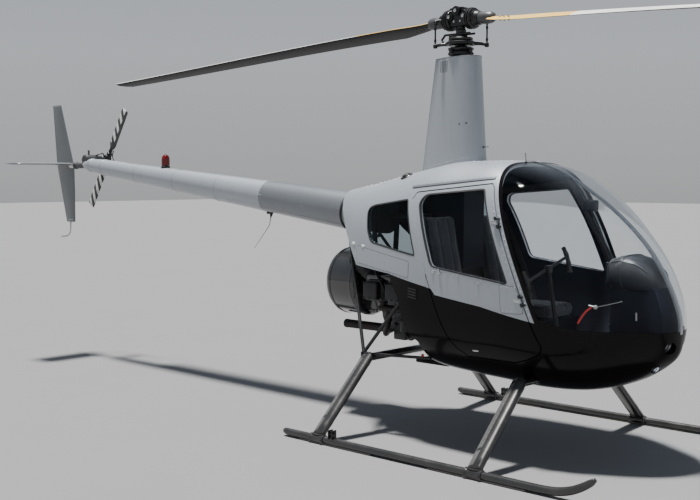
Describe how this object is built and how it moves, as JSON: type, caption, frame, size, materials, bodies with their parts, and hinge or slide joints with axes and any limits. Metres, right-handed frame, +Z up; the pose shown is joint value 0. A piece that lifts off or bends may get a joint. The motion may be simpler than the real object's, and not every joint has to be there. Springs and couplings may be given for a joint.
{
  "type": "light two-seat helicopter",
  "caption": "Light helicopter on skids with a two-blade rotor on a tall faired mast, a hollow two-seat cabin with hinged doors, an open engine bay and a slim tail.",
  "frame": {"origin": "on the ground, midway between the fin's rear edge and the front blade's tip, in the plane of symmetry of the cabin and skids", "axes": "+X to the nose, +Y to the left (port) side, +Z up; it stands on the shoes of its two skids"},
  "size_m": [8.776, 1.956, 2.826],
  "materials": {
    "silver_paint": "satin",
    "black_paint": "gloss",
    "black_shroud": "gloss",
    "grey_paint": "satin",
    "gunmetal_tube": "gloss",
    "tinted_window": "gloss",
    "seat_cover": "matte",
    "cabin_trim": "matte",
    "sheet_metal": "satin",
    "cast_alloy": "satin",
    "dark_steel": "satin",
    "blade_paint": "satin",
    "red_lens": "gloss",
    "black_rod": "matte",
    "lamp_glass": "gloss"
  },
  "bodies": {
    "airframe": {"lower_body": "black_paint", "upper_body": "silver_paint", "firewall": "sheet_metal", "cabin_floor": "sheet_metal", "gearbox_column": "cabin_trim", "mast": "dark_steel", "mast_fairing": "silver_paint", "windscreen_strip": "silver_paint", "console": "cabin_trim", "seat_base": "cabin_trim", "cyclic_stick": "cabin_trim", "pedals": "cabin_trim", "engine": "cast_alloy", "belt_drive": "dark_steel", "fan_scroll": "black_shroud", "exhaust": "dark_steel", "engine_frame": "gunmetal_tube", "tailcone": "silver_paint", "tail_gearbox": "cast_alloy", "vertical_fin": "grey_paint", "stabilizer": "silver_paint", "beacon": "red_lens", "whip_antenna": "black_rod", "front_cross_tube": "gunmetal_tube", "rear_cross_tube": "gunmetal_tube", "windscreen_left": "tinted_window", "rear_window_left": "tinted_window", "seat_cushion_left": "seat_cover", "seat_back_left": "seat_cover", "skid_left": "gunmetal_tube", "front_leg_left": "gunmetal_tube", "rear_leg_left": "gunmetal_tube", "nose_lamp_left": "lamp_glass", "chin_lamp": "lamp_glass", "windscreen_right": "tinted_window", "rear_window_right": "tinted_window", "seat_cushion_right": "seat_cover", "seat_back_right": "seat_cover", "skid_right": "gunmetal_tube", "front_leg_right": "gunmetal_tube", "rear_leg_right": "gunmetal_tube", "nose_lamp_right": "lamp_glass"},
    "door_left": {"door_left": "silver_paint", "door_glass_left": "tinted_window"},
    "door_right": {"door_right": "silver_paint", "door_glass_right": "tinted_window"},
    "main_rotor": {"rotor_hub": "dark_steel", "swashplate": "dark_steel", "blade_front": "blade_paint", "blade_rear": "blade_paint"},
    "tail_rotor": {"tail_hub": "dark_steel", "tail_blade_upper": "blade_paint", "tail_blade_lower": "blade_paint"}
  },
  "joints": [
    {"name": "main_rotor_spin", "type": "hinge", "parent": "airframe", "child": "main_rotor", "pos_m": [0.553, 0, 2.6], "axis": [0, 0, 1], "continuous": true},
    {"name": "tail_rotor_spin", "type": "hinge", "parent": "airframe", "child": "tail_rotor", "pos_m": [-3.807, 0.222, 1.874], "axis": [0, 1, 0], "continuous": true},
    {"name": "door_left_hinge", "type": "hinge", "parent": "airframe", "child": "door_left", "pos_m": [1.43013, 0.579, 0.98], "axis": [-0.3673, -0.0145, 0.93], "range_deg": [-80, 0]},
    {"name": "door_right_hinge", "type": "hinge", "parent": "airframe", "child": "door_right", "pos_m": [1.43013, -0.579, 0.98], "axis": [-0.3673, 0.0145, 0.93], "range_deg": [0, 80]}
  ]
}
